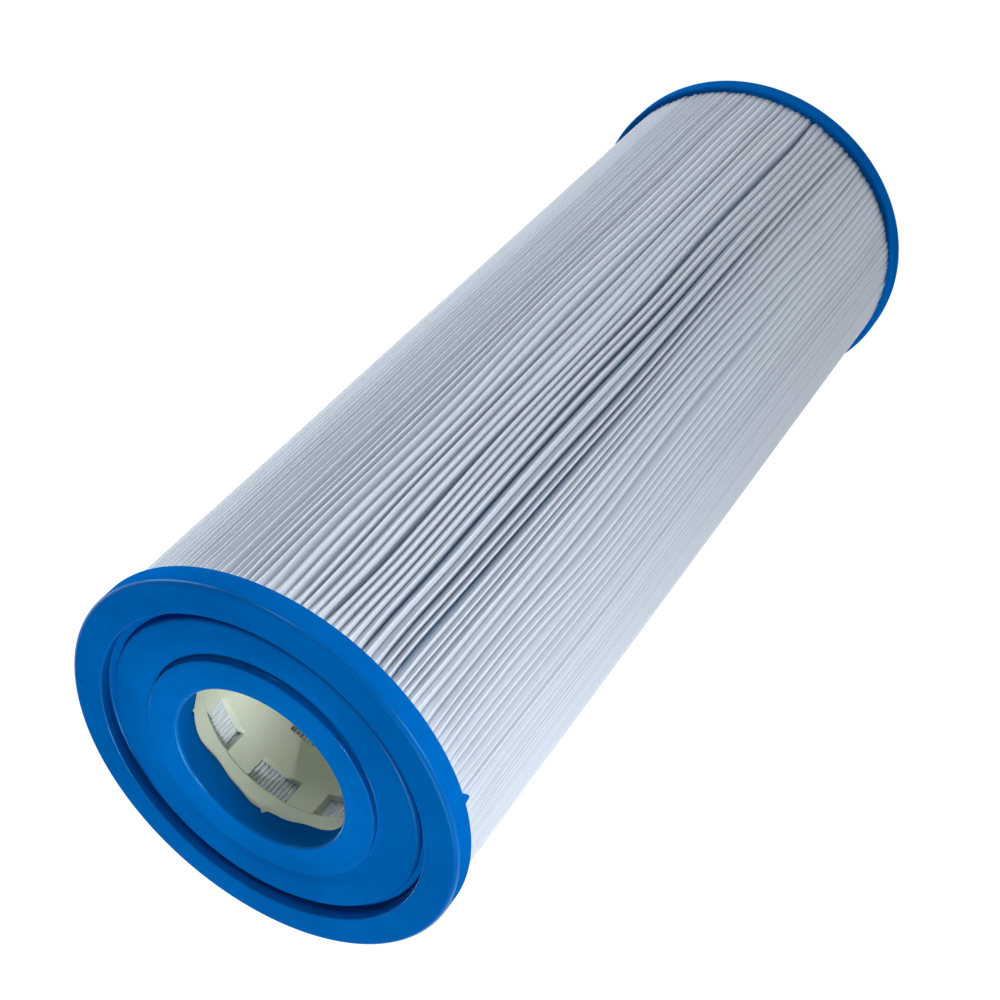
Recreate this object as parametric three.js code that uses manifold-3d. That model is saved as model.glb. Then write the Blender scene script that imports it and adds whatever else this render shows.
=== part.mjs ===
// A pleated spa filter cartridge, standing upright: +Z runs along its axis and z = 0 is the
// bottom sealing face. Millimetres throughout.
//
// Five moulded core modules plug into one another to make a perforated tube. One long sheet of
// spun polyester is folded into a ring of pleats around that tube, and its two edges are bonded
// by a bead of hot-melt. Both ends of the tube and of the pleats are potted in a soft blue cap.

import * as THREE from "three";
import Module from "manifold-3d";
import { mergeVertices } from "three/addons/utils/BufferGeometryUtils.js";

const wasm = await Module();
wasm.setup();

// ---- Driving dimensions ----------------------------------------------------------------

const LENGTH = 338;
const GAP = 0.3; // between pieces that touch on the real cartridge

const CAP = {
  radius: 62.7,
  height: 7.4,
  outerEdgeRound: 1.6,
  backEdgeRound: 0.5,
  edgeRound: 0.5,
  middleEdgeRound: 1.2, // where the middle ring rolls over into the groove
  grooveOuterRadius: 52.5,
  grooveInnerRadius: 49.9,
  grooveDepth: 3.8,
  middleDepth: 1.85, // the middle ring lies this far below the outer sealing ring
  dipOuterRadius: 43.2, // inside this radius the middle ring sinks gently towards the boss
  dipInnerRadius: 37.4, // and it is deepest here, at the foot of the boss
  dipDepth: 2.6,
  bossRadius: 36.8,
  bossDepth: 0.8,
  boreRadius: 27.2,
  boreEdgeRound: 1,
  boreLipHeight: 9.4,
  potDepth: 4.8, // how far below the face the embedded ends of tube and pleats begin
  segments: 48,
};

const CORE = {
  innerRadius: 29,
  outerRadius: 31.5,
  turn: THREE.MathUtils.degToRad(10.7), // of a column of windows, from +X
  rows: 15,
  modules: 5,
  windowsPerRow: 8,
  windowWidth: 13.6,
  windowHeight: 8.4,
  firstWindowDepth: 15.9, // from the cap's face to the near edge of the first row
  spigotLength: 5,
  keys: 4,
  keyWidth: 6,
  keyHeight: 2,
  segments: 32,
};

const MEDIA = {
  pleats: 150,
  thickness: 0.45,
  innerRadius: 32.1, // both radii are to the middle of the sheet
  outerRadius: 60,
  foldWidth: 0.6, // across an outer fold, between the middles of its two flanks
};

const SEAM = { thickness: 0.6, innerRadius: 34, outerRadius: 59.5 };

const COLOUR = { cap: 0x0062ac, core: 0xd8d9c4, media: 0xe8ebf0, seam: 0xe9e0c0 };

const POTTED_END = CAP.potDepth + GAP; // depth of the tube's and the pleats' ends below a face
const EMBEDDED_LENGTH = LENGTH - 2 * POTTED_END;

// ---- Solids ----------------------------------------------------------------------------

function solidOf(geometry) {
  const bare = new THREE.BufferGeometry();
  bare.setAttribute("position", geometry.getAttribute("position"));
  if (geometry.index) bare.setIndex(geometry.index);
  const merged = mergeVertices(bare, 1e-4);
  const mesh = new wasm.Mesh({
    numProp: 3,
    vertProperties: merged.attributes.position.array,
    triVerts: new Uint32Array(merged.index.array),
  });
  return new wasm.Manifold(mesh);
}

function geometryOf(solid) {
  const mesh = solid.getMesh();
  const geometry = new THREE.BufferGeometry();
  geometry.setAttribute("position", new THREE.BufferAttribute(mesh.vertProperties, 3));
  geometry.setIndex(new THREE.BufferAttribute(mesh.triVerts, 1));
  geometry.computeVertexNormals();
  return geometry;
}

// Turns a closed outline of (radius, height) points about +Z. The outline runs anticlockwise.
function revolve(outline, segments) {
  const closed = [...outline, outline[0]];
  const geometry = new THREE.LatheGeometry(closed, segments);
  return geometry.rotateX(Math.PI / 2);
}

// Points along a rounded corner, from one angle to another in degrees about its own centre.
function corner(radius, height, round, from, to, steps = 1) {
  return Array.from({ length: steps + 1 }, (_, i) => {
    const angle = THREE.MathUtils.degToRad(from + ((to - from) * i) / steps);
    return new THREE.Vector2(radius + round * Math.cos(angle), height + round * Math.sin(angle));
  });
}

const point = (radius, height) => new THREE.Vector2(radius, height);

// ---- End caps --------------------------------------------------------------------------

// The cap's section, with its sealing face at height 0 and the pleats below it.
function capOutline() {
  const { edgeRound: e, outerEdgeRound: o, middleEdgeRound: m } = CAP;
  const { boreEdgeRound: b, backEdgeRound: k } = CAP;
  const pocketInner = CORE.innerRadius - GAP;
  const pocketOuter = MEDIA.outerRadius + MEDIA.thickness / 2 + GAP;
  return [
    point(CAP.boreRadius, -CAP.boreLipHeight),
    point(pocketInner, -CAP.boreLipHeight),
    point(pocketInner, -CAP.potDepth),
    point(pocketOuter, -CAP.potDepth),
    point(pocketOuter, -CAP.height),
    ...corner(CAP.radius - k, k - CAP.height, k, -90, 0),
    ...corner(CAP.radius - o, -o, o, 0, 90, 2),
    ...corner(CAP.grooveOuterRadius + e, -e, e, 90, 180),
    point(CAP.grooveOuterRadius, -CAP.grooveDepth),
    point(CAP.grooveInnerRadius, -CAP.grooveDepth),
    ...corner(CAP.grooveInnerRadius - m, -CAP.middleDepth - m, m, 0, 90, 2),
    point(CAP.dipOuterRadius, -CAP.middleDepth),
    point(CAP.dipInnerRadius, -CAP.dipDepth),
    ...corner(CAP.bossRadius - e, -CAP.bossDepth - e, e, 0, 90),
    ...corner(CAP.boreRadius + b, -CAP.bossDepth - b, b, 90, 180),
  ];
}

function endCap(name) {
  return piece(name, revolve(capOutline(), CAP.segments), COLOUR.cap, 0.45);
}

// ---- Core modules ----------------------------------------------------------------------

const ROW_PITCH =
  (LENGTH - 2 * CORE.firstWindowDepth - CORE.windowHeight) / (CORE.rows - 1);
const MODULE_ROWS = CORE.rows / CORE.modules;
const MODULE_PITCH = MODULE_ROWS * ROW_PITCH;
const JOINT_RADIUS = (CORE.innerRadius + CORE.outerRadius) / 2;

// Height of the middle of a row of windows. Row 0 is the lowest.
const rowHeight = (row) =>
  CORE.firstWindowDepth + CORE.windowHeight / 2 + row * ROW_PITCH;

// Height of the joint under a module. The lowest module ends in the bottom cap instead.
const jointHeight = (index) => rowHeight(index * MODULE_ROWS) - ROW_PITCH / 2;

// A module has a spigot on top unless it is the last, and a socket below unless it is the first.
function moduleOutline(index) {
  const isFirst = index === 0;
  const isLast = index === CORE.modules - 1;
  const low = isFirst ? POTTED_END : jointHeight(index) + GAP;
  const high = isLast ? LENGTH - POTTED_END : jointHeight(index + 1);
  const { innerRadius, outerRadius, spigotLength } = CORE;
  const bottom = isFirst
    ? [point(innerRadius, low), point(outerRadius, low)]
    : [
        point(innerRadius, low + spigotLength),
        point(JOINT_RADIUS + GAP / 2, low + spigotLength),
        point(JOINT_RADIUS + GAP / 2, low),
        point(outerRadius, low),
      ];
  const top = isLast
    ? [point(outerRadius, high), point(innerRadius, high)]
    : [
        point(outerRadius, high),
        point(JOINT_RADIUS - GAP / 2, high),
        point(JOINT_RADIUS - GAP / 2, high + spigotLength),
        point(innerRadius, high + spigotLength),
      ];
  return [...bottom, ...top];
}

// A block across the tube's wall, turned to an angle about the axis.
function wallBlock(width, height, z, angle) {
  const depth = 4 * (CORE.outerRadius - CORE.innerRadius);
  const block = new THREE.BoxGeometry(depth, width, height);
  block.translate((CORE.innerRadius + CORE.outerRadius) / 2, 0, z);
  return block.rotateZ(angle);
}

function coreModule(index) {
  let solid = solidOf(revolve(moduleOutline(index), CORE.segments));
  for (let row = index * MODULE_ROWS; row < (index + 1) * MODULE_ROWS; row += 1) {
    for (let i = 0; i < CORE.windowsPerRow; i += 1) {
      const angle = (i * 2 * Math.PI) / CORE.windowsPerRow;
      const cut = wallBlock(CORE.windowWidth, CORE.windowHeight, rowHeight(row), angle);
      solid = solid.subtract(solidOf(cut));
    }
  }
  for (let i = 0; i < CORE.keys; i += 1) {
    const angle = ((i + 0.5) * 2 * Math.PI) / CORE.keys;
    if (index < CORE.modules - 1) solid = solid.add(keyOn(index, angle));
    if (index > 0) solid = solid.subtract(keySlotUnder(index, angle));
  }
  const module = piece(`core_module_${index + 1}`, geometryOf(solid), COLOUR.core, 0.55);
  module.rotation.z = CORE.turn;
  return module;
}

// A key stands on a module's shoulder, against its spigot, and holds the next module's windows
// in line.
function keyOn(index, angle) {
  const thickness = CORE.outerRadius - JOINT_RADIUS;
  const key = new THREE.BoxGeometry(thickness, CORE.keyWidth, 2 * CORE.keyHeight);
  key.translate(JOINT_RADIUS + thickness / 2 - GAP, 0, jointHeight(index + 1));
  return solidOf(key.rotateZ(angle));
}

function keySlotUnder(index, angle) {
  const width = CORE.keyWidth + 2 * GAP;
  const height = 2 * (CORE.keyHeight + GAP);
  return solidOf(wallBlock(width, height, jointHeight(index), angle));
}

// ---- Pleated media ---------------------------------------------------------------------

// The middle line of the folded sheet, seen along +Z. It starts and ends at the seam, which
// faces +Y, as two edges that lie side by side.
function pleatLine() {
  const edgeOffset = (SEAM.thickness + MEDIA.thickness) / 2 + GAP;
  const start = edgeOffset / MEDIA.innerRadius;
  const pitch = (2 * Math.PI - 2 * start) / (MEDIA.pleats - 0.5);
  const halfFold = MEDIA.foldWidth / 2 / MEDIA.outerRadius;
  const at = (radius, turn) =>
    new THREE.Vector2(-radius * Math.sin(turn), radius * Math.cos(turn));
  const line = [at(MEDIA.outerRadius, edgeOffset / MEDIA.outerRadius)];
  for (let i = 0; i < MEDIA.pleats; i += 1) {
    const turn = start + i * pitch;
    line.push(at(MEDIA.innerRadius, turn), at(MEDIA.innerRadius, turn + pitch / 2));
    if (i < MEDIA.pleats - 1) {
      const fold = turn + 0.75 * pitch;
      line.push(at(MEDIA.outerRadius, fold - halfFold), at(MEDIA.outerRadius, fold + halfFold));
    }
  }
  line.push(at(MEDIA.outerRadius, -edgeOffset / MEDIA.outerRadius));
  return line;
}

// The line moved sideways by a distance, with mitred corners.
function offsetLine(line, distance) {
  const normals = line.slice(1).map((p, i) => {
    const along = p.clone().sub(line[i]).normalize();
    return new THREE.Vector2(-along.y, along.x);
  });
  return line.map((p, i) => {
    const before = normals[Math.max(i - 1, 0)];
    const after = normals[Math.min(i, normals.length - 1)];
    const mitre = before.clone().add(after).normalize();
    return p.clone().addScaledVector(mitre, distance / mitre.dot(after));
  });
}

function extrudeUp(outline, low, height) {
  const options = { depth: height, bevelEnabled: false, steps: 1 };
  return new THREE.ExtrudeGeometry(new THREE.Shape(outline), options).translate(0, 0, low);
}

function pleatedMedia() {
  const line = pleatLine();
  const half = MEDIA.thickness / 2;
  const outline = [...offsetLine(line, half), ...offsetLine(line, -half).reverse()];
  const geometry = extrudeUp(outline, POTTED_END, EMBEDDED_LENGTH);
  return piece("pleated_media", geometry, COLOUR.media, 0.9);
}

function seamBead() {
  const depth = SEAM.outerRadius - SEAM.innerRadius;
  const bead = new THREE.BoxGeometry(SEAM.thickness, depth, EMBEDDED_LENGTH);
  bead.translate(0, SEAM.innerRadius + depth / 2, LENGTH / 2);
  return piece("media_seam_bead", bead, COLOUR.seam, 0.4);
}

// ---- The cartridge ---------------------------------------------------------------------

function piece(name, geometry, color, roughness) {
  const material = new THREE.MeshStandardMaterial({ color, roughness, metalness: 0 });
  const mesh = new THREE.Mesh(geometry, material);
  mesh.name = name;
  return mesh;
}

const cartridge = new THREE.Group();

const topCap = endCap("end_cap_top");
topCap.position.z = LENGTH;

const bottomCap = endCap("end_cap_bottom");
bottomCap.rotation.x = Math.PI;

cartridge.add(topCap, bottomCap, pleatedMedia(), seamBead());
for (let index = 0; index < CORE.modules; index += 1) cartridge.add(coreModule(index));

export default cartridge;
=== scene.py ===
import bmesh
import bpy
import numpy as np
from mathutils import Matrix, Vector


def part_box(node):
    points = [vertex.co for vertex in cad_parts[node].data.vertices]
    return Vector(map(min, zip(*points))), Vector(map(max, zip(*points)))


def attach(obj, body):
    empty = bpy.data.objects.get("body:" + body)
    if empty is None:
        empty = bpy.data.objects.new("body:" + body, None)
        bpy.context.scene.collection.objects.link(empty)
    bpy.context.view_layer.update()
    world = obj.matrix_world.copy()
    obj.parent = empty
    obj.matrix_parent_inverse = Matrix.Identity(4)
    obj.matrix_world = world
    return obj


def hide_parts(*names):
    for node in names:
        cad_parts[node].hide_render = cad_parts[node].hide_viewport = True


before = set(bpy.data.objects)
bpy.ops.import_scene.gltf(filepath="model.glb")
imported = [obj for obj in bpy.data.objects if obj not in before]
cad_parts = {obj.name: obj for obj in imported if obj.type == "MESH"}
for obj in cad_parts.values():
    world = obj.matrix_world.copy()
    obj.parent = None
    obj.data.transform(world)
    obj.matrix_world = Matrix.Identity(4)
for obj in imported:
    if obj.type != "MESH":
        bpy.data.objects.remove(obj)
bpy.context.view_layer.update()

# The looks of a pleated spa filter cartridge, in the CAD frame: metres, +Z along the axis,
# z = 0 on the bottom cap's sealing face. Sections are drawn in millimetres and scaled at the end.
# A direction phi is in degrees from -Y, turning towards -X.

MM = 0.001
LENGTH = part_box("end_cap_top")[1].z / MM
CAP_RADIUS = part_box("end_cap_top")[1].x / MM
BORE_LIP = 2.0  # how much further than its rim a cap reaches down round the bore
CAP_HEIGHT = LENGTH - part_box("end_cap_top")[0].z / MM - BORE_LIP
CORE_INNER, CORE_OUTER = 29.0, 31.5
CORE_MIDDLE = (CORE_INNER + CORE_OUTER) / 2
COLLAR_INNER, COLLAR_LENGTH, COLLAR_SLOPE = 28.4, 15.0, 0.5  # the tube's thicker ends
SHEET_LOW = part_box("pleated_media")[0].z / MM
SHEET_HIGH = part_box("pleated_media")[1].z / MM
SHEET_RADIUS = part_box("pleated_media")[1].x / MM
rng = np.random.default_rng(25)


# ---- Mesh helpers --------------------------------------------------------------------------

def piece(name, points, faces, material, slot, *nodes):
    """A smooth-shaded piece from points in millimetres, riding on the root and standing for nodes."""
    mesh = bpy.data.meshes.new(name)
    mesh.from_pydata((np.asarray(points, float).reshape(-1, 3) * MM).tolist(), [], faces)
    mesh.validate()
    mesh.polygons.foreach_set("use_smooth", np.ones(len(mesh.polygons), bool))
    mesh.materials.append(material)
    obj = bpy.data.objects.new(name, mesh)
    bpy.context.scene.collection.objects.link(obj)
    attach(obj, "root")
    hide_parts(*nodes)
    return obj


def grid_faces(rows, columns, wrap_rows=False, wrap_columns=False):
    """Quads between neighbouring points of a grid that is stored row by row."""
    row = np.arange(rows if wrap_rows else rows - 1)
    column = np.arange(columns if wrap_columns else columns - 1)
    r, c = np.meshgrid(row, column, indexing="ij")
    up, right = (r + 1) % rows, (c + 1) % columns
    corners = (r * columns + c, r * columns + right, up * columns + right, up * columns + c)
    return np.stack(corners, -1).reshape(-1, 4).tolist()


def arc(radius, height, size, start, end, steps=5):
    """Points round a corner, from one angle to another in degrees about its own centre."""
    angles = np.radians(np.linspace(start, end, steps + 1))
    return [(radius + size * np.cos(a), height + size * np.sin(a)) for a in angles]


def level(r_from, r_to, height, steps):
    """Points along a flat part of a section, without its two ends."""
    return [(r, height) for r in np.linspace(r_from, r_to, steps + 2)[1:-1]]


def ripple(angles, orders, size):
    """A random line round the axis, from waves of the given orders, about 0 and roughly of that size."""
    total = np.zeros(len(angles))
    for order in orders:
        total += rng.normal() * np.cos(order * angles + rng.uniform(0, 2 * np.pi))
    return size * total / np.sqrt(len(orders) / 2)


def hump(x, centre, half_width):
    """1 at the centre, falling smoothly to 0 a half width away."""
    t = np.clip(np.abs(x - centre) / half_width, 0, 1)
    return (1 - t * t) ** 2


def ramp(x, start, length):
    """0 up to the start, rising evenly to 1 over the length."""
    return np.clip((x - start) / length, 0, 1)


def angle_from(centre, angles):
    """How far each angle is past the centre, from half a turn short of it to half a turn past it."""
    return (angles - centre + np.pi) % (2 * np.pi) - np.pi


def facing(phi):
    """The angle from +X, in radians, of a direction phi."""
    return np.radians(270 - phi)


# ---- Materials -----------------------------------------------------------------------------

class Nodes:
    """Builds one node material, with every texture in object space unless a vector is given."""

    def __init__(self, name):
        self.material = bpy.data.materials.new(name)
        self.material.use_nodes = True
        self.tree = self.material.node_tree
        self.tree.nodes.clear()
        self.shader = self.add("ShaderNodeBsdfPrincipled")
        output = self.add("ShaderNodeOutputMaterial")
        self.tree.links.new(self.shader.outputs[0], output.inputs["Surface"])
        self.place = self.add("ShaderNodeTexCoord").outputs["Object"]

    def add(self, kind, inputs=None, **settings):
        node = self.tree.nodes.new(kind)
        for key, value in settings.items():
            setattr(node, key, value)
        for key, value in (inputs or {}).items():
            self.put(node, key, value)
        return node

    def put(self, node, key, value):
        if isinstance(value, bpy.types.NodeSocket):
            self.tree.links.new(value, node.inputs[key])
        else:
            node.inputs[key].default_value = value

    def set(self, **values):
        """Sets or links the shader's own sockets."""
        for key, value in values.items():
            self.put(self.shader, key.replace("_", " "), value)

    def noise(self, scale, detail=4.0, roughness=0.55, vector=None, distortion=0.0):
        inputs = {"Vector": vector or self.place, "Scale": scale, "Detail": detail,
                  "Roughness": roughness, "Distortion": distortion}
        return self.add("ShaderNodeTexNoise", inputs).outputs["Fac"]

    def attribute(self, name, output):
        return self.add("ShaderNodeAttribute", attribute_name=name).outputs[output]

    def math(self, operation, a, b=0.0):
        return self.add("ShaderNodeMath", {0: a, 1: b}, operation=operation).outputs[0]

    def band(self, value, low, high, to_low=0.0, to_high=1.0):
        """Value mapped smoothly from low..high to to_low..to_high and clamped."""
        inputs = {"Value": value, "From Min": low, "From Max": high,
                  "To Min": to_low, "To Max": to_high}
        return self.add("ShaderNodeMapRange", inputs, interpolation_type="SMOOTHSTEP").outputs[0]

    def mix(self, factor, a, b):
        """Colour a where the factor is 0 and colour b where it is 1."""
        node = self.add("ShaderNodeMix", data_type="RGBA")
        self.put(node, 0, factor)
        self.put(node, 6, a)
        self.put(node, 7, b)
        return node.outputs[2]

    def scaled(self, vector, x, y, z):
        inputs = {0: vector, 1: (x, y, z)}
        return self.add("ShaderNodeVectorMath", inputs, operation="MULTIPLY").outputs[0]

    def bump(self, height, strength, distance, normal=None):
        inputs = {"Height": height, "Strength": strength, "Distance": distance}
        node = self.add("ShaderNodeBump", inputs)
        if normal:
            self.put(node, "Normal", normal)
        return node.outputs[0]


def rgb(red, green, blue):
    return (red, green, blue, 1.0)


def urethane(name):
    """Cast blue urethane: satin, a little cloudy, with pinholes darkened by painted shade and light scuffs,
    shinier on edges.
    """
    n = Nodes(name)
    cloud = n.noise(38.0, 3.0)
    colour = n.mix(n.band(cloud, 0.3, 0.7), rgb(0.0, 0.086, 0.33), rgb(0.0, 0.102, 0.385))
    grain = n.noise(900.0, 3.0)
    colour = n.mix(n.band(grain, 0.35, 0.75, 0.0, 0.16), colour, rgb(0.0, 0.142, 0.45))

    streaks = n.noise(420.0, 4.0, 0.65, n.scaled(n.place, 0.55, 1.0, 1.0), 0.6)
    scuffed = n.math("MULTIPLY", n.band(streaks, 0.55, 0.72), n.band(n.noise(26.0), 0.52, 0.66))
    colour = n.mix(n.math("MULTIPLY", scuffed, 0.18), colour, rgb(0.0, 0.20, 0.55))

    cells = n.add("ShaderNodeTexVoronoi", {"Vector": n.place, "Scale": 260.0}, feature="F1")
    lot = n.add("ShaderNodeSeparateColor", {0: cells.outputs["Color"]}).outputs[0]
    chosen = n.band(lot, 0.93, 0.94)  # only a few cells hold a pinhole
    pit = n.math("MULTIPLY", n.band(cells.outputs["Distance"], 0.05, 0.13, 1.0, 0.0), chosen)
    # Painted shade: each pinhole is darkened inside.
    colour = n.mix(n.math("MULTIPLY", pit, 0.6), colour, rgb(0.0, 0.03, 0.16))

    relief = n.bump(n.noise(1500.0, 2.0), 0.05, 0.0002)
    relief = n.bump(n.noise(140.0, 2.0), 0.05, 0.0008, relief)
    relief = n.bump(n.math("SUBTRACT", 1.0, pit), 0.5, 0.0003, relief)

    polish = n.attribute("polish", "Fac")
    rough = n.band(n.noise(70.0, 4.0), 0.3, 0.7, 0.26, 0.32)
    rough = n.math("ADD", rough, n.math("MULTIPLY", scuffed, 0.06))
    rough = n.math("SUBTRACT", rough, n.math("MULTIPLY", polish, 0.06))
    shine = n.band(polish, 0.0, 1.0, 0.0, 0.55)
    n.set(Base_Color=colour, Roughness=rough, Normal=relief, Specular_IOR_Level=shine,
          Specular_Tint=rgb(0.20, 0.70, 1.0))
    return n.material


# Radii between which the sheet's colour changes, and the pitch of its dots, all in metres.
FOLD_PALE, FOLD_SHADED = 0.0330, 0.0400  # from pale beside the tube to the painted blue shade deep between the pleats
DEEP_RADIUS, CREST_RADIUS = 0.0568, 0.0586  # from the painted blue shade deep in the valleys to a greyish white outside
DOT_PITCH = 0.0012


def polyester(name):
    """Point-bonded spun polyester: white, with painted blue shade deep in the folds, a painted highlight
    along the folded edges, embossed dots and fibres.
    """
    n = Nodes(name)
    sheet = n.attribute("sheet", "Vector")
    across = n.add("ShaderNodeSeparateXYZ", {0: sheet})
    place = n.add("ShaderNodeSeparateXYZ", {0: n.place})
    squares = [n.math("MULTIPLY", place.outputs[axis], place.outputs[axis]) for axis in (0, 1)]
    radius = n.math("SQRT", n.math("ADD", *squares))
    # Painted shade: the sheet is darker and bluer deep between the pleats than on their crests.
    colour = n.mix(n.band(radius, DEEP_RADIUS, CREST_RADIUS), rgb(0.34, 0.49, 0.64), rgb(0.46, 0.51, 0.575))
    colour = n.mix(n.band(radius, FOLD_PALE, FOLD_SHADED), rgb(0.80, 0.85, 0.92), colour)
    # Painted highlight: the folded edges are made paler than the flanks beside them.
    tipness = across.outputs[2]
    colour = n.mix(n.band(tipness, 0.55, 1.0), colour, rgb(0.60, 0.63, 0.685))
    cloud = n.noise(28.0, 4.0)
    colour = n.mix(n.band(cloud, 0.35, 0.75, 0.0, 0.35), colour, rgb(0.48, 0.505, 0.58))
    fibres = n.noise(1300.0, 4.0, 0.6, n.scaled(sheet, 1.0, 0.7, 0.0), 0.6)
    colour = n.mix(n.band(fibres, 0.5, 0.8, 0.0, 0.15), colour, rgb(0.80, 0.82, 0.87))
    colour = n.mix(n.band(fibres, 0.5, 0.25, 0.0, 0.14), colour, rgb(0.50, 0.55, 0.66))
    turn = 2 * np.pi / DOT_PITCH
    wave_u = n.math("SINE", n.math("MULTIPLY", across.outputs[0], turn))
    wave_v = n.math("SINE", n.math("MULTIPLY", across.outputs[1], turn))
    dots = n.band(n.math("MULTIPLY", wave_u, wave_v), 0.35, 0.95)
    relief = n.bump(n.math("SUBTRACT", 1.0, dots), 0.03, 0.00010)
    relief = n.bump(fibres, 0.04, 0.00012, relief)
    n.set(Base_Color=colour, Roughness=0.85, Normal=relief, Specular_IOR_Level=0.25,
          Sheen_Weight=0.25, Sheen_Roughness=0.5)
    return n.material


def core_plastic(name):
    """Moulded cream polypropylene."""
    n = Nodes(name)
    cloud = n.noise(45.0, 3.0)
    colour = n.mix(n.band(cloud, 0.3, 0.7), rgb(0.66, 0.70, 0.56), rgb(0.74, 0.78, 0.66))
    flow = n.noise(60.0, 4.0, 0.6, n.scaled(n.place, 1.0, 1.0, 0.18), 0.4)
    colour = n.mix(n.band(flow, 0.5, 0.75, 0.0, 0.3), colour, rgb(0.80, 0.83, 0.76))
    rough = n.band(n.noise(90.0, 4.0), 0.3, 0.7, 0.38, 0.52)
    relief = n.bump(n.noise(1200.0, 2.0), 0.06, 0.0002)
    relief = n.bump(n.noise(70.0, 2.0), 0.06, 0.0012, relief)
    n.set(Base_Color=colour, Roughness=rough, Normal=relief, Specular_IOR_Level=0.4,
          Subsurface_Weight=0.12, Subsurface_Scale=0.004, Subsurface_Radius=(1.0, 0.9, 0.6))
    return n.material


def hot_melt(name):
    """Pale amber hot-melt glue, laid down by hand."""
    n = Nodes(name)
    cloud = n.noise(120.0, 4.0)
    colour = n.mix(n.band(cloud, 0.3, 0.7), rgb(0.74, 0.66, 0.44), rgb(0.86, 0.80, 0.62))
    rough = n.band(n.noise(300.0, 3.0), 0.3, 0.7, 0.22, 0.40)
    relief = n.bump(n.noise(420.0, 3.0), 0.25, 0.0006)
    n.set(Base_Color=colour, Roughness=rough, Normal=relief, Subsurface_Weight=0.3,
          Subsurface_Scale=0.002, Subsurface_Radius=(1.0, 0.8, 0.4))
    return n.material


def studio_floor(name):
    """Matt grey board that glows, so that it looks nearly white all over."""
    n = Nodes(name)
    colour = n.mix(n.band(n.noise(3.0), 0.3, 0.7), rgb(0.24, 0.245, 0.25), rgb(0.26, 0.265, 0.27))
    n.set(Base_Color=colour, Roughness=0.9, Specular_IOR_Level=0.1,
          Emission_Color=rgb(0.97, 0.985, 1.0), Emission_Strength=0.93)
    return n.material


# ---- End caps ------------------------------------------------------------------------------

GROOVE_OUTER, GROOVE_INNER, GROOVE_DEPTH = 52.5, 49.9, 3.8
GROOVE_EDGE, GROOVE_FOOT_OUTER, GROOVE_FOOT_INNER = 0.4, 0.45, 0.35  # radii of its roundings
MIDDLE_DEPTH, MIDDLE_ROUND = 1.85, 1.4
DIP_OUTER, DIP_INNER, DIP_DEPTH = 43.2, 37.6, 2.7  # where the middle ring sinks beside the boss
DIP_ROUND = 0.4
BOSS_RADIUS, BOSS_DEPTH, BOSS_ROUND = 36.8, 0.75, 0.4
RIM_ROUND, BACK_ROUND = 1.6, 0.5
BORE_RADIUS, BORE_ROUND = 27.2, 1.0
FLOW_DEPTH = 9.0  # how far down the bore the urethane has run over the tube, on average
POTTED_DEPTH = CAP_HEIGHT - 0.8  # of the surface between the pleats
LIP = ((0.9, 0.05), (1.25, 0.25), (1.6, 0.5), (2.0, 0.7))  # in from the rim and up from its back
LIP_BEADING = (0.10, 0.30, 0.55, 0.75)  # how much the drips along the lip move each of its rings
CAP_SEGMENTS = 600

NICKS, NICK_HALF, NICK_HEIGHT = 7, 0.045, 1.2  # in the edge of the urethane over the tube
CHIPS, CHIP_HALF, CHIP_DEPTHS = 14, 0.016, (0.15, 0.4)  # in the boss's edge
FLASH_HALF, FLASH_OUT, FLASH_DOWN = 0.028, 0.9, 1.3  # the moulding flash on the rim
SWELL_REACH, SWELL_OUT, SWELL_UP = 1.5, 1.5, 0.5  # how the boss's edge wanders
DRIPS_DOWN, LIP_IN = 0.45, 0.15  # how far drips hang down, and how the lip wanders inwards
EDGE_TILT, EDGE_SPREAD = 0.62, 0.40  # how far up a rounded edge faces: a flat 1 and a wall 0


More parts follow.
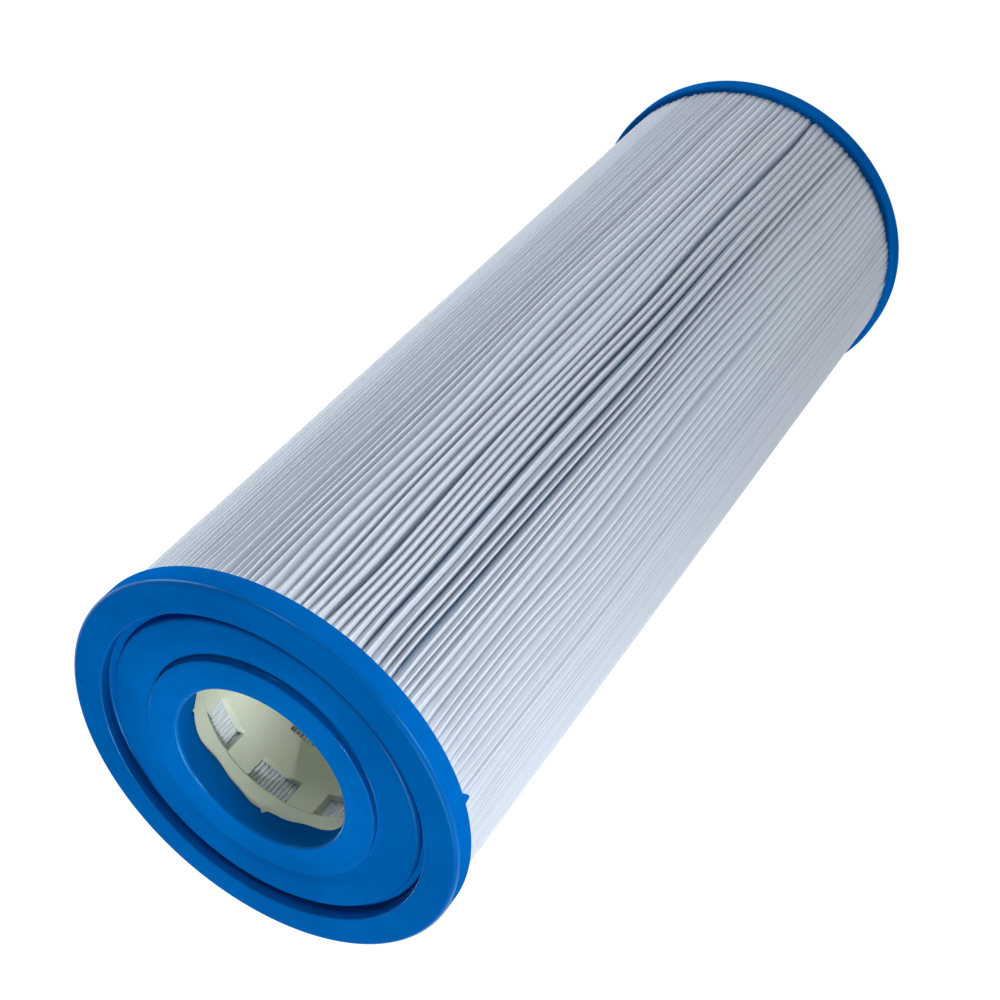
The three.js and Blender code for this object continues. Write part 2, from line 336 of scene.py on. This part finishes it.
def cap_section():
    """The cap's section in four stretches: run-over urethane, front, lip and underside.

    The face is at height 0, but the run-over urethane's heights are from the wavy line it ends at."""
    rim, back = CAP_RADIUS, -CAP_HEIGHT
    flow = [(COLLAR_INNER + 0.1, -0.8), (COLLAR_INNER - 0.15, -0.65), (BORE_RADIUS + 0.6, -0.5),
            (BORE_RADIUS + 0.15, -0.1), (BORE_RADIUS, 0.7)]
    front = [(BORE_RADIUS, -6.3), (BORE_RADIUS, -4.0)]
    front += arc(BORE_RADIUS + BORE_ROUND, -BOSS_DEPTH - BORE_ROUND, BORE_ROUND, 180, 90)
    front += level(BORE_RADIUS + BORE_ROUND, BOSS_RADIUS - BOSS_ROUND, -BOSS_DEPTH, 5)
    front += arc(BOSS_RADIUS - BOSS_ROUND, -BOSS_DEPTH - BOSS_ROUND, BOSS_ROUND, 90, 0, 4)
    front += arc(DIP_INNER - DIP_ROUND, -DIP_DEPTH + DIP_ROUND, DIP_ROUND, 180, 270, 3)
    for step in (0.2, 0.4, 0.6, 0.8, 1.0):
        sink = (DIP_DEPTH - MIDDLE_DEPTH) * np.cos(step * np.pi / 2) ** 2
        front.append((DIP_INNER + step * (DIP_OUTER - DIP_INNER), -MIDDLE_DEPTH - sink))
    front += level(DIP_OUTER, GROOVE_INNER - MIDDLE_ROUND, -MIDDLE_DEPTH, 3)
    front += arc(GROOVE_INNER - MIDDLE_ROUND, -MIDDLE_DEPTH - MIDDLE_ROUND, MIDDLE_ROUND, 90, 0, 6)
    front += arc(GROOVE_INNER + GROOVE_FOOT_INNER, -GROOVE_DEPTH + GROOVE_FOOT_INNER,
                 GROOVE_FOOT_INNER, 180, 270, 3)
    front += arc(GROOVE_OUTER - GROOVE_FOOT_OUTER, -GROOVE_DEPTH + GROOVE_FOOT_OUTER,
                 GROOVE_FOOT_OUTER, 270, 360, 3)
    front.append((GROOVE_OUTER, -2.2))
    front += arc(GROOVE_OUTER + GROOVE_EDGE, -GROOVE_EDGE, GROOVE_EDGE, 180, 90, 4)
    front += level(GROOVE_OUTER + GROOVE_EDGE, rim - RIM_ROUND, 0.0, 4)
    front += arc(rim - RIM_ROUND, -RIM_ROUND, RIM_ROUND, 90, 0, 8)
    front += [(rim, height) for height in (-3.2, -4.8, -6.2)]
    front += arc(rim - BACK_ROUND, back + BACK_ROUND, BACK_ROUND, 0, -90, 3)
    lip = [(rim - inwards, back + upwards) for inwards, upwards in LIP]
    under = [(radius, -POTTED_DEPTH) for radius in (58.0, 50.0, 40.0, 33.0, CORE_MIDDLE)]
    return flow, front, lip, under


def edge_polish():
    """For every ring, 1 on a rounded edge of the face and 0 on flats and walls."""
    flow, front, lip, under = cap_section()
    run = np.gradient(np.array(front), axis=0)
    upward = run[:, 0] / np.linalg.norm(run, axis=1)
    on_front = hump(upward, EDGE_TILT, EDGE_SPREAD)
    on_front[:2] = 0  # the bore's wall
    return np.concatenate([np.zeros(len(flow)), on_front, np.zeros(len(lip) + len(under))])


def cap_rings():
    """The angles round the cap, and its rings of points: each (radius, height) at every angle."""
    angles = np.arange(CAP_SEGMENTS) * 2 * np.pi / CAP_SEGMENTS
    flow, front, lip, under = cap_section()
    flow_edge = -FLOW_DEPTH + ripple(angles, range(2, 8), 0.65) + ripple(angles, range(9, 22, 3), 0.22)
    nicks = sum(hump(angle_from(at, angles), 0, NICK_HALF) for at in rng.uniform(0, 2 * np.pi, NICKS))
    flow_edge += NICK_HEIGHT * nicks
    rings = [(np.full(CAP_SEGMENTS, r), flow_edge + h) for r, h in flow]
    swell = ripple(angles, range(2, 7), 0.05)
    chips = sum(hump(angle_from(at, angles), 0, CHIP_HALF) * rng.uniform(*CHIP_DEPTHS)
                for at in rng.uniform(0, 2 * np.pi, CHIPS))
    for r, h in front:
        on_boss_edge = hump(r, BOSS_RADIUS - 0.1, 0.5) * (h > -MIDDLE_DEPTH)
        wander = swell * hump(r, BOSS_RADIUS, SWELL_REACH)
        rings.append((r + SWELL_OUT * wander, h - chips * on_boss_edge + SWELL_UP * wander))
    drips = np.clip(ripple(angles, range(60, 200, 7), 1.0), -0.4, 2.2)
    slow = ripple(angles, range(3, 30, 4), 0.12)
    for (r, h), beading in zip(lip, LIP_BEADING):
        rings.append((r - LIP_IN * slow, h - beading * (DRIPS_DOWN * drips + slow)))
    for r, h in under:
        rings.append((np.full(CAP_SEGMENTS, r), np.full(CAP_SEGMENTS, h)))
    return angles, rings


def end_cap(name, node, upward, flash=None):
    """A cap with its face up at the top of the cartridge, or down at z = 0.

    The flash, if there is one, is at that angle from +X."""
    angles, rings = cap_rings()
    points = []
    for radius, height in rings:
        radius = np.broadcast_to(radius, angles.shape)
        if flash is not None:
            bulge = hump(angle_from(flash, angles), 0, FLASH_HALF)
            bulge = bulge * hump(radius, CAP_RADIUS, 1.4) * hump(height, -CAP_HEIGHT, 2.2)
            radius, height = radius + FLASH_OUT * bulge, height - FLASH_DOWN * bulge
        z = LENGTH + height if upward else -height
        turn = angles if upward else -angles
        points.append(np.stack([radius * np.cos(turn), radius * np.sin(turn), z], -1))
    faces = grid_faces(len(points), CAP_SEGMENTS, wrap_rows=True, wrap_columns=True)
    cap = piece(name, points, faces, blue, "cap_urethane", node)
    polish = cap.data.attributes.new("polish", "FLOAT", "POINT")
    polish.data.foreach_set("value", np.repeat(edge_polish(), CAP_SEGMENTS).astype(np.float32))


# ---- Core modules --------------------------------------------------------------------------

WINDOWS, WINDOW_WIDTH, WINDOW_HEIGHT, FIRST_WINDOW = 8, 13.6, 8.4, 15.9
WINDOW_STEPS, BRIDGE_STEPS = 8, 6  # faces across a window and between two of them
ROWS, MODULES = 15, 5
ROWS_EACH = ROWS // MODULES
ROW_PITCH = (LENGTH - 2 * FIRST_WINDOW - WINDOW_HEIGHT) / (ROWS - 1)
CORE_TURN = np.radians(10.7)  # the angle of the first window's centre
SPIGOT, SPIGOT_GAP = 5.0, 0.3  # how far one module goes into the next, and the gap round it
SPIGOT_OUTER = CORE_MIDDLE - SPIGOT_GAP / 2
SOCKET_INNER = CORE_MIDDLE + SPIGOT_GAP / 2
CORE_BEVEL, BEVEL_STEPS, BEVEL_ANGLE = 0.2, 2, 40


def core_columns():
    """Angles round the tube, with two at the edges of each window, and which cells are windows."""
    half = WINDOW_WIDTH / 2 / CORE_INNER
    step = 2 * np.pi / WINDOWS
    angles, is_window = [], []
    for i in range(WINDOWS):
        centre = CORE_TURN + i * step
        angles += list(centre + np.linspace(-half, half, WINDOW_STEPS + 1)[:-1])
        is_window += [True] * WINDOW_STEPS
        angles += list(centre + half + np.linspace(0, step - 2 * half, BRIDGE_STEPS + 1)[:-1])
        is_window += [False] * BRIDGE_STEPS
    return np.array(angles), np.array(is_window)


def module_levels(index):
    """Heights where a module's wall changes, and whether a row of windows begins at each."""
    levels, begins_row = [], []
    for row in range(index * ROWS_EACH, (index + 1) * ROWS_EACH):
        centre = FIRST_WINDOW + WINDOW_HEIGHT / 2 + row * ROW_PITCH
        levels += [centre - WINDOW_HEIGHT / 2, centre + WINDOW_HEIGHT / 2]
        begins_row += [True, False]
    if index == 0:
        levels = [COLLAR_LENGTH, COLLAR_LENGTH + COLLAR_SLOPE, *levels]
        begins_row = [False, False, *begins_row]
    if index == MODULES - 1:
        levels += [LENGTH - COLLAR_LENGTH - COLLAR_SLOPE, LENGTH - COLLAR_LENGTH]
        begins_row += [False, False]
    return levels, begins_row


def tube_bore(z):
    """The tube's inner radius at a height: its two ends are thicker."""
    return COLLAR_INNER if min(z, LENGTH - z) <= COLLAR_LENGTH else CORE_INNER


def core_module(index):
    """A module of the tube: rows of windows, with a spigot up into the next module and a socket
    for the one below."""
    node = f"core_module_{index + 1}"
    low, high = (corner.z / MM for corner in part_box(node))
    first, last = index == 0, index == MODULES - 1
    inner_low = low if first else low + SPIGOT
    outer_high = high if last else high - SPIGOT
    levels, begins_row = module_levels(index)
    inner = [(tube_bore(z), z) for z in (inner_low, *levels, high)]
    outer = [(CORE_OUTER, z) for z in (low, *levels, outer_high)]
    spigot = [] if last else [(SPIGOT_OUTER, high), (SPIGOT_OUTER, outer_high)]
    socket = [] if first else [(SOCKET_INNER, low), (SOCKET_INNER, inner_low)]
    section = inner + spigot + outer[::-1] + socket
    angles, is_window = core_columns()
    columns = len(angles)
    points = [[(r * np.cos(a), r * np.sin(a), z) for a in angles] for r, z in section]
    is_open = np.array([False, *begins_row])[:, None] & is_window

    def at(i, j):
        return i * columns + j % columns

    def outside(k):
        """The ring on the outside that belongs with ring k of the bore."""
        return len(inner) + len(spigot) + len(outer) - 1 - k

    faces = []
    for k in range(len(inner) - 1):
        i0, i1 = k, k + 1
        o0, o1 = outside(k), outside(k + 1)
        for j in range(columns):
            if not is_open[k, j]:
                faces.append((at(i0, j), at(i1, j), at(i1, j + 1), at(i0, j + 1)))
                faces.append((at(o1, j), at(o0, j), at(o0, j + 1), at(o1, j + 1)))
                continue
            if not is_open[k, j - 1]:
                faces.append((at(i0, j), at(o0, j), at(o1, j), at(i1, j)))
            if not is_open[k, (j + 1) % columns]:
                faces.append((at(o0, j + 1), at(i0, j + 1), at(i1, j + 1), at(o1, j + 1)))
            faces.append((at(i0, j), at(i0, j + 1), at(o0, j + 1), at(o0, j)))
            faces.append((at(i1, j + 1), at(i1, j), at(o1, j), at(o1, j + 1)))
    upper_end = range(len(inner) - 1, outside(len(outer) - 1) + 1)
    lower_end = [*range(outside(0), len(section)), 0]
    for end in (upper_end, lower_end):
        for a, b in zip(end, end[1:]):
            faces += [(at(a, j), at(b, j), at(b, j + 1), at(a, j + 1)) for j in range(columns)]

    obj = piece(f"tube_module_{index + 1}", points, faces, cream, "core_plastic", node)
    work = bmesh.new()
    work.from_mesh(obj.data)
    bmesh.ops.recalc_face_normals(work, faces=work.faces)
    work.to_mesh(obj.data)
    work.free()
    bevel = obj.modifiers.new("rounded_edges", "BEVEL")
    bevel.width, bevel.segments = CORE_BEVEL * MM, BEVEL_STEPS
    bevel.limit_method, bevel.angle_limit = "ANGLE", np.radians(BEVEL_ANGLE)
    bevel.harden_normals = True
    return obj


# ---- Pleated media -------------------------------------------------------------------------

PLEATS = 150
PITCH = 2 * np.pi / PLEATS
TIP_RADIUS, FOLD_RADIUS, FOLD_WIDTH = SHEET_RADIUS, 31.75, 0.16
TIP_HALF = 0.27  # half the width of a folded edge
CROWN = TIP_RADIUS + 0.15  # of the folded edges before they wander
CROWN_SPREAD, CROWN_WANDER = 0.10, 0.06
VALLEY, VALLEY_SPREAD = 1.30, 0.12  # how far below the folded edges two pleats meet
CLOSED_GAP, GAP_SPREAD = 0.08, 0.05
FRONT_GAP, FRONT_HALF = 0.06, 16  # the gaps within these degrees of -Y are a little wider
SEAM_HALF = 0.62  # half the distance between the sheet's two edges
LAID_LENGTH = SHEET_HIGH - SHEET_LOW
SHEET_ROWS = 54
ROW_SHARE = np.linspace(0, 1, SHEET_ROWS)
ROW_CROWDING = 0.06  # the rows are closer together near the caps
SHEET_HEIGHTS = SHEET_LOW + LAID_LENGTH * (ROW_SHARE - ROW_CROWDING * np.sin(2 * np.pi * ROW_SHARE))

STEP_SPREAD, STEP_WANDER = 0.24, 0.06  # how unevenly pleats are spaced, and how it changes along them
STEP_LIMITS = (-0.4, 0.5)
SETTLING, SETTLING_REACH = 0.9, 9  # a bunch of wide pleats pushes only its neighbours aside
LEAN, LEAN_REACH = 0.9, 4  # how far pleats lean sideways, and how many to each side lean together
LOOSE_FROM, LOOSE_OVER, LOOSE_LEFT = 40, 230, 0.40  # the spacing grows more even below the top
SHALLOW_FROM, SHALLOW_OVER, SHALLOW_LOSS = 60, 180, 0.40  # and the valleys grow shallower
LAID_OVER, LAID_LEFT = 7, 0.35  # the valleys flatten over this length where they enter a cap
GAP_DROP, GAP_FROM, GAP_MOST = 8.0, 0.12, 0.3  # a valley is deeper where its gap is open
REACH_DROP, REACH_FROM, REACH_MOST = 0.7, 1.3, 1.5  # and where its pleats are wide
REACH_LEAST = 0.7  # half the width of the narrowest pleat

# Where two pleats stand apart: the direction they face, from and to which depth below the top
# face, how much further apart they are than their neighbours, and how far the gap is open.
APART = [
    (-0.5, -60, 300, 0.9, 0.42),
    (3.2, -60, 330, 0.7, 0.34),
    (7.5, -60, 200, 0.5, 0.30),
    (24.0, 20, 290, 2.6, 0.05),
    (38.5, -80, 230, 1.5, 0.0),
    (-8.5, 110, 420, 1.2, 0.36),
    (-4.5, 60, 260, 0.2, 0.24),
    (-13.5, -40, 150, 0.7, 0.22),
    (-17.0, -80, 190, 0.9, 0.05),
    (-27.0, -60, 170, 0.8, 0.0),
]


def along_rows(knots):
    """Values at evenly spaced heights, one line of knots per height, spread smoothly over the rows."""
    at = np.linspace(0, len(knots) - 1, SHEET_ROWS)
    low = np.minimum(at.astype(int), len(knots) - 2)
    t = (at - low)[:, None]
    t = t * t * (3 - 2 * t)
    return knots[low] * (1 - t) + knots[low + 1] * t


def smooth_round(values, reach):
    """Each value averaged with its neighbours round the ring."""
    window = np.hanning(2 * reach + 3)[1:-1]
    window /= window.sum()
    padded = np.concatenate([values[:, -reach:], values, values[:, :reach]], 1)
    return np.stack([np.convolve(line, window, "valid") for line in padded])


def pleat_layout():
    """The angle of every tip at every row, from +Y turning towards -X, and the step and gap after it."""
    depth = LENGTH - SHEET_HEIGHTS
    loose = LOOSE_LEFT + (1 - LOOSE_LEFT) * (1 - ramp(depth, LOOSE_FROM, LOOSE_OVER))
    spread = loose[:, None] * rng.normal(0, STEP_SPREAD, PLEATS)
    spread = spread + along_rows(rng.normal(0, STEP_WANDER, (10, PLEATS)))
    around = 2 * np.pi * TIP_RADIUS
    step = around / PLEATS * np.exp(np.clip(spread, *STEP_LIMITS))
    gap_faces = 180 - (np.arange(PLEATS) + 0.5) * np.degrees(PITCH)
    gap = CLOSED_GAP + np.abs(rng.normal(0, GAP_SPREAD, PLEATS))
    gap = gap + FRONT_GAP * hump(gap_faces, 0, FRONT_HALF)
    gap = np.tile(gap, (SHEET_ROWS, 1))
    for phi, start, end, wider, opened in APART:
        index = int(round((180 - phi) / np.degrees(PITCH) - 0.5))
        stretch = hump(depth, (start + end) / 2, (end - start) / 2)
        step[:, index] += wider * stretch
        gap[:, index] += opened * stretch
    step *= (around / step.sum(1))[:, None]
    place = np.concatenate([np.zeros((SHEET_ROWS, 1)), np.cumsum(step, 1)[:, :-1]], 1)
    drift = place - np.arange(PLEATS) * around / PLEATS
    drift -= SETTLING * smooth_round(drift, SETTLING_REACH)
    drift += smooth_round(along_rows(rng.normal(0, LEAN, (7, PLEATS))), LEAN_REACH)
    drift[:, 0] = 0
    tips = np.arange(PLEATS) * PITCH + drift / TIP_RADIUS
    step = np.diff(tips, axis=1, append=2 * np.pi) * TIP_RADIUS
    return tips, step, gap


def polar(radius, turn):
    """Points at an angle from +Y, turning towards -X."""
    return np.stack([-radius * np.sin(turn), radius * np.cos(turn)], -1)


def seam_leg(side):
    """The sheet's edge beside the seam, from the outside in: columns of points with their tipness."""
    wave = 0.12 * np.sin(np.linspace(0, 9, SHEET_ROWS) + side)
    leg = []
    for radius in (59.2, 50.0, 40.0, 33.2):
        # only the outer part of the edge waves
        x = -side * (SEAM_HALF + wave * (radius > 45))
        leg.append((np.stack([x, np.full(SHEET_ROWS, radius)], -1), 0.0))
    return leg


def inner_fold(index):
    """The fold against the tube after a pleat: columns of points with their tipness."""
    middle = (index + 0.5) * PITCH
    half = (PITCH * FOLD_RADIUS - FOLD_WIDTH) / 2
    fold = []
    for offset, radius in ((-half, FOLD_RADIUS + 0.4), (0, FOLD_RADIUS), (half, FOLD_RADIUS + 0.4)):
        point = polar(radius, middle + offset / FOLD_RADIUS)
        fold.append((np.broadcast_to(point, (SHEET_ROWS, 2)), 0.0))
    return fold


def pleated_media():
    """The folded sheet and its flat length in metres.

    The "sheet" attribute of a point holds how far along the flat sheet it is and its height, both
    in metres, and its tipness: 1 on a folded edge and 0 in a valley."""
    tips, step, gap = pleat_layout()
    crown = CROWN + rng.normal(0, CROWN_SPREAD, PLEATS)
    crown = crown + along_rows(rng.normal(0, CROWN_WANDER, (8, PLEATS)))
    valley = VALLEY * np.exp(rng.normal(0, VALLEY_SPREAD, PLEATS))
    from_cap = np.minimum(SHEET_HEIGHTS, LENGTH - SHEET_HEIGHTS) - CAP_HEIGHT
    laid_open = LAID_LEFT + (1 - LAID_LEFT) * ramp(from_cap, 0, LAID_OVER)
    shallower = 1 - SHALLOW_LOSS * ramp(LENGTH - SHEET_HEIGHTS, SHALLOW_FROM, SHALLOW_OVER)

    def flank(index, side):
        """Half of a pleat, from beside its folded edge to where it meets the next pleat."""
        tip, top = tips[:, index], crown[:, index]
        after = index if side > 0 else index - 1
        opened = gap[:, after]
        reach = np.maximum((step[:, after] - opened) / 2, REACH_LEAST)
        low = valley[index] * shallower + GAP_DROP * np.clip(opened - GAP_FROM, 0, GAP_MOST)
        low = (low + REACH_DROP * np.clip(reach - REACH_FROM, 0, REACH_MOST)) * laid_open
        ridge = np.minimum(TIP_HALF, 0.55 * reach)
        half = [(0.55 * ridge, 0.06, 0.9), (ridge, 0.24, 0.6),
                (0.65 * ridge + 0.35 * reach, 0.50 * low, 0.1), (reach, low, 0.0)]
        return [(polar(top - down, tip + side * across / (top - down)), tipness)
                for across, down, tipness in half]

    def pleat(index):
        """One pleat from its left flank over the folded edge to its right flank."""
        edge = (polar(crown[:, index], tips[:, index]), 1.0)
        return [*flank(index, -1)[::-1], edge, *flank(index, 1)]

    line = seam_leg(1)
    for index in range(PLEATS):
        line += inner_fold(index)
        if index < PLEATS - 1:
            line += pleat(index + 1)
    line += seam_leg(-1)[::-1]

    plan = np.stack([column for column, tipness in line], 1)
    heights = np.broadcast_to(SHEET_HEIGHTS[:, None], plan.shape[:2])
    points = np.concatenate([plan, heights[..., None]], -1)
    faces = grid_faces(*plan.shape[:2])
    obj = piece("folded_sheet", points, faces, white, "media_polyester", "pleated_media")
    middle = plan[SHEET_ROWS // 2]
    run = np.concatenate([[0], np.cumsum(np.linalg.norm(np.diff(middle, axis=0), axis=1))])
    laid = np.zeros(points.shape)
    laid[..., 0] = run * MM
    laid[..., 1] = heights * MM
    laid[..., 2] = [tipness for column, tipness in line]
    attribute = obj.data.attributes.new("sheet", "FLOAT_VECTOR", "POINT")
    attribute.data.foreach_set("vector", laid.astype(np.float32).ravel())
    return obj, run[-1] * MM


# ---- Seam bead -----------------------------------------------------------------------------

BEAD_ROWS = 180
BEAD_FOOT = 59.1  # where the glue that is squeezed out begins


def seam_bead():
    """The glue line between the sheet's two edges, squeezed out along the outside."""
    height = np.linspace(SHEET_LOW, SHEET_HIGH, BEAD_ROWS)
    phase = height / 7.0
    lumps = 0.22 * np.sin(phase) + 0.16 * np.sin(2.3 * phase + 1.0) + rng.normal(0, 0.05, BEAD_ROWS)
    thin = 0.42 + 0.06 * np.sin(height / 11.0)
    wide = 0.95 + lumps
    top = 59.9 + 0.5 * lumps
    half = [(0.30, 34.0), (thin, 45.0), (thin, 57.9), (0.8 * wide, 58.8),
            (wide, 0.4 * top + 0.6 * BEAD_FOOT), (0.62 * wide, 0.8 * top + 0.2 * BEAD_FOOT)]
    outline = [*half, (0.0, top), *[(-x, y) for x, y in half[::-1]]]
    points = np.stack([np.stack(np.broadcast_arrays(x, y, height), -1) for x, y in outline], 1)
    count = len(outline)
    faces = grid_faces(BEAD_ROWS, count, wrap_columns=True)
    faces.append(tuple(range(count))[::-1])
    faces.append(tuple(range((BEAD_ROWS - 1) * count, BEAD_ROWS * count)))
    return piece("seam_glue", points, faces, amber, "seam_hot_melt", "media_seam_bead")


# ---- Everything in place -------------------------------------------------------------------

blue = urethane("blue_urethane")
white = polyester("white_polyester")
cream = core_plastic("cream_plastic")
amber = hot_melt("amber_hot_melt")

end_cap("cast_cap_top", "end_cap_top", upward=True, flash=facing(44))
end_cap("cast_cap_bottom", "end_cap_bottom", upward=False)
modules = [core_module(index) for index in range(MODULES)]
media, laid_width = pleated_media()
bead = seam_bead()


# ---- Studio --------------------------------------------------------------------------------

FLOOR_RADIUS, FLOOR_DROP = 6.0, 0.0004
TOP = LENGTH * MM

# The view that was fitted to the photo's ellipses. It is rolled, as the photo is.
CAMERA_LENS = 64.502
CAMERA_PLACE = Vector((0.0, -0.418247, 0.59897))
CAMERA_FORWARD = Vector((0.001401, 0.725417, -0.688308))
CAMERA_UP = Vector((0.67042, -0.511394, -0.5376))


def studio_world():
    """Light from all round, pale along the horizon and dim overhead."""
    world = bpy.data.worlds.new("studio")
    world.use_nodes = True
    nodes, links = world.node_tree.nodes, world.node_tree.links
    background = nodes["Background"]
    background.inputs["Color"].default_value = rgb(0.96, 0.98, 1.0)
    direction = nodes.new("ShaderNodeTexCoord")
    split = nodes.new("ShaderNodeSeparateXYZ")
    fade = nodes.new("ShaderNodeMapRange")
    fade.inputs["From Min"].default_value, fade.inputs["From Max"].default_value = 0.05, 0.16
    fade.inputs["To Min"].default_value, fade.inputs["To Max"].default_value = 0.95, 0.10
    links.new(direction.outputs["Generated"], split.inputs[0])
    links.new(split.outputs["Z"], fade.inputs["Value"])
    links.new(fade.outputs[0], background.inputs["Strength"])
    return world


def place_light(data, phi, rise, distance, aim):
    """Puts a light in the direction phi and rise degrees up, aimed at a height on the axis."""
    obj = bpy.data.objects.new(data.name, data)
    turn, lift = facing(phi), np.radians(rise)
    towards = Vector((np.cos(turn) * np.cos(lift), np.sin(turn) * np.cos(lift), np.sin(lift)))
    obj.location = Vector((0, 0, aim)) + towards * distance
    obj.rotation_mode = "QUATERNION"
    obj.rotation_quaternion = towards.to_track_quat("Z", "Y")
    bpy.context.scene.collection.objects.link(obj)


def soft_light(name, phi, rise, distance, aim, size, watts, colour):
    data = bpy.data.lights.new(name, "AREA")
    data.shape, data.size, data.energy, data.color = "DISK", size, watts, colour
    place_light(data, phi, rise, distance, aim)


def bore_light(name, phi, rise, distance, watts, colour):
    """A spot that shines into the top cap's opening and no wider."""
    data = bpy.data.lights.new(name, "SPOT")
    data.energy, data.color, data.shadow_soft_size = watts, colour, 0.02
    data.spot_blend = 0.35
    data.spot_size = 2 * np.arctan(0.85 * BORE_RADIUS * MM / distance)
    place_light(data, phi, rise, distance, TOP)


def photo_camera():
    """A camera where the photo was taken from."""
    data = bpy.data.cameras.new("camera")
    data.lens, data.sensor_width = CAMERA_LENS, 36.0
    data.clip_start, data.clip_end = 0.01, 50.0
    camera = bpy.data.objects.new("camera", data)
    forward = CAMERA_FORWARD.normalized()
    right = forward.cross(CAMERA_UP).normalized()
    axes = Matrix((right, right.cross(forward), -forward)).transposed()
    camera.matrix_world = Matrix.Translation(CAMERA_PLACE) @ axes.to_4x4()
    bpy.context.scene.collection.objects.link(camera)
    return camera


bpy.ops.mesh.primitive_circle_add(vertices=96, radius=FLOOR_RADIUS, fill_type="NGON",
                                  location=(0, 0, -FLOOR_DROP))
floor = bpy.context.object
floor.name = "floor"
floor.data.materials.append(studio_floor("studio_floor"))
bpy.context.scene.world = studio_world()

soft_light("key", phi=138, rise=57, distance=1.1, aim=TOP, size=0.18, watts=13.2,
           colour=(1.0, 0.985, 0.96))
soft_light("front", phi=200, rise=12, distance=1.1, aim=TOP, size=0.12, watts=0.8,
           colour=(0.95, 0.98, 1.0))
soft_light("side", phi=-85, rise=0, distance=0.50, aim=0.72 * TOP, size=0.36, watts=1.55,
           colour=(0.93, 0.97, 1.0))
soft_light("edge", phi=-38, rise=18, distance=0.55, aim=TOP, size=0.14, watts=0.42,
           colour=(0.95, 0.98, 1.0))
soft_light("fill", phi=38, rise=1, distance=0.28, aim=0.97 * TOP, size=0.12, watts=0.52,
           colour=(0.94, 0.98, 1.0))
bore_light("bore", phi=46, rise=45, distance=0.6, watts=16.0, colour=(0.96, 1.0, 0.98))

bpy.context.scene.camera = photo_camera()
bpy.context.scene.view_settings.view_transform = "Standard"
